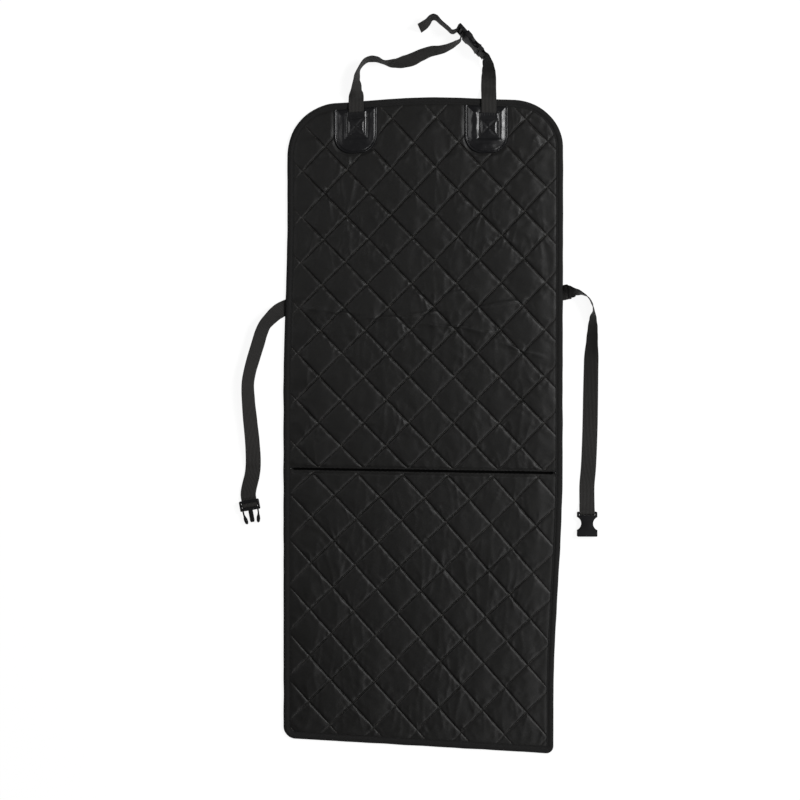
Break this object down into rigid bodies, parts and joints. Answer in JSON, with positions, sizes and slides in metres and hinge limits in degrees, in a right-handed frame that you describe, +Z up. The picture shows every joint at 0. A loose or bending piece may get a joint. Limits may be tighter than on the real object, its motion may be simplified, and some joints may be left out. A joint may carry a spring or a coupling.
{
  "type": "quilted dog car seat cover",
  "caption": "Long diamond-quilted dog cover for a car seat, with bound edges, a cross seam, leatherette strap patches, webbing straps and side-release clips.",
  "frame": {"origin": "middle of the pad's flat underside, at the level of the ground it lies on", "axes": "+Y along the pad towards its headrest end, +X to the right seen from above, +Z up out of the quilted face"},
  "size_m": [0.5919, 1.2153, 0.0343],
  "materials": {
    "quilted_fabric": "matt black woven polyester, quilted in diamonds",
    "binding_tape": "black woven edge tape with a line of stitches",
    "seam_cloth": "black seam tape",
    "leatherette": "black grained leatherette with a soft gloss",
    "stitch_thread": "black sewing thread",
    "strap_webbing": "charcoal ribbed polyester webbing",
    "clip_plastic": "glossy black moulded plastic"
  },
  "bodies": {
    "root": {"upper_quilted_panel": "quilted_fabric", "lower_quilted_panel": "quilted_fabric", "edge_binding": "binding_tape", "seam_tape": "seam_cloth", "left_strap_patch": "leatherette", "right_strap_patch": "leatherette", "left_box_stitch": "stitch_thread", "right_box_stitch": "stitch_thread", "head_strap_long": "strap_webbing", "head_strap_short": "strap_webbing", "left_side_strap": "strap_webbing", "right_side_strap": "strap_webbing", "head_clip_plug": "clip_plastic", "head_clip_socket": "clip_plastic", "left_side_clip_plug": "clip_plastic", "right_side_clip_socket": "clip_plastic"}
  },
  "joints": []
}
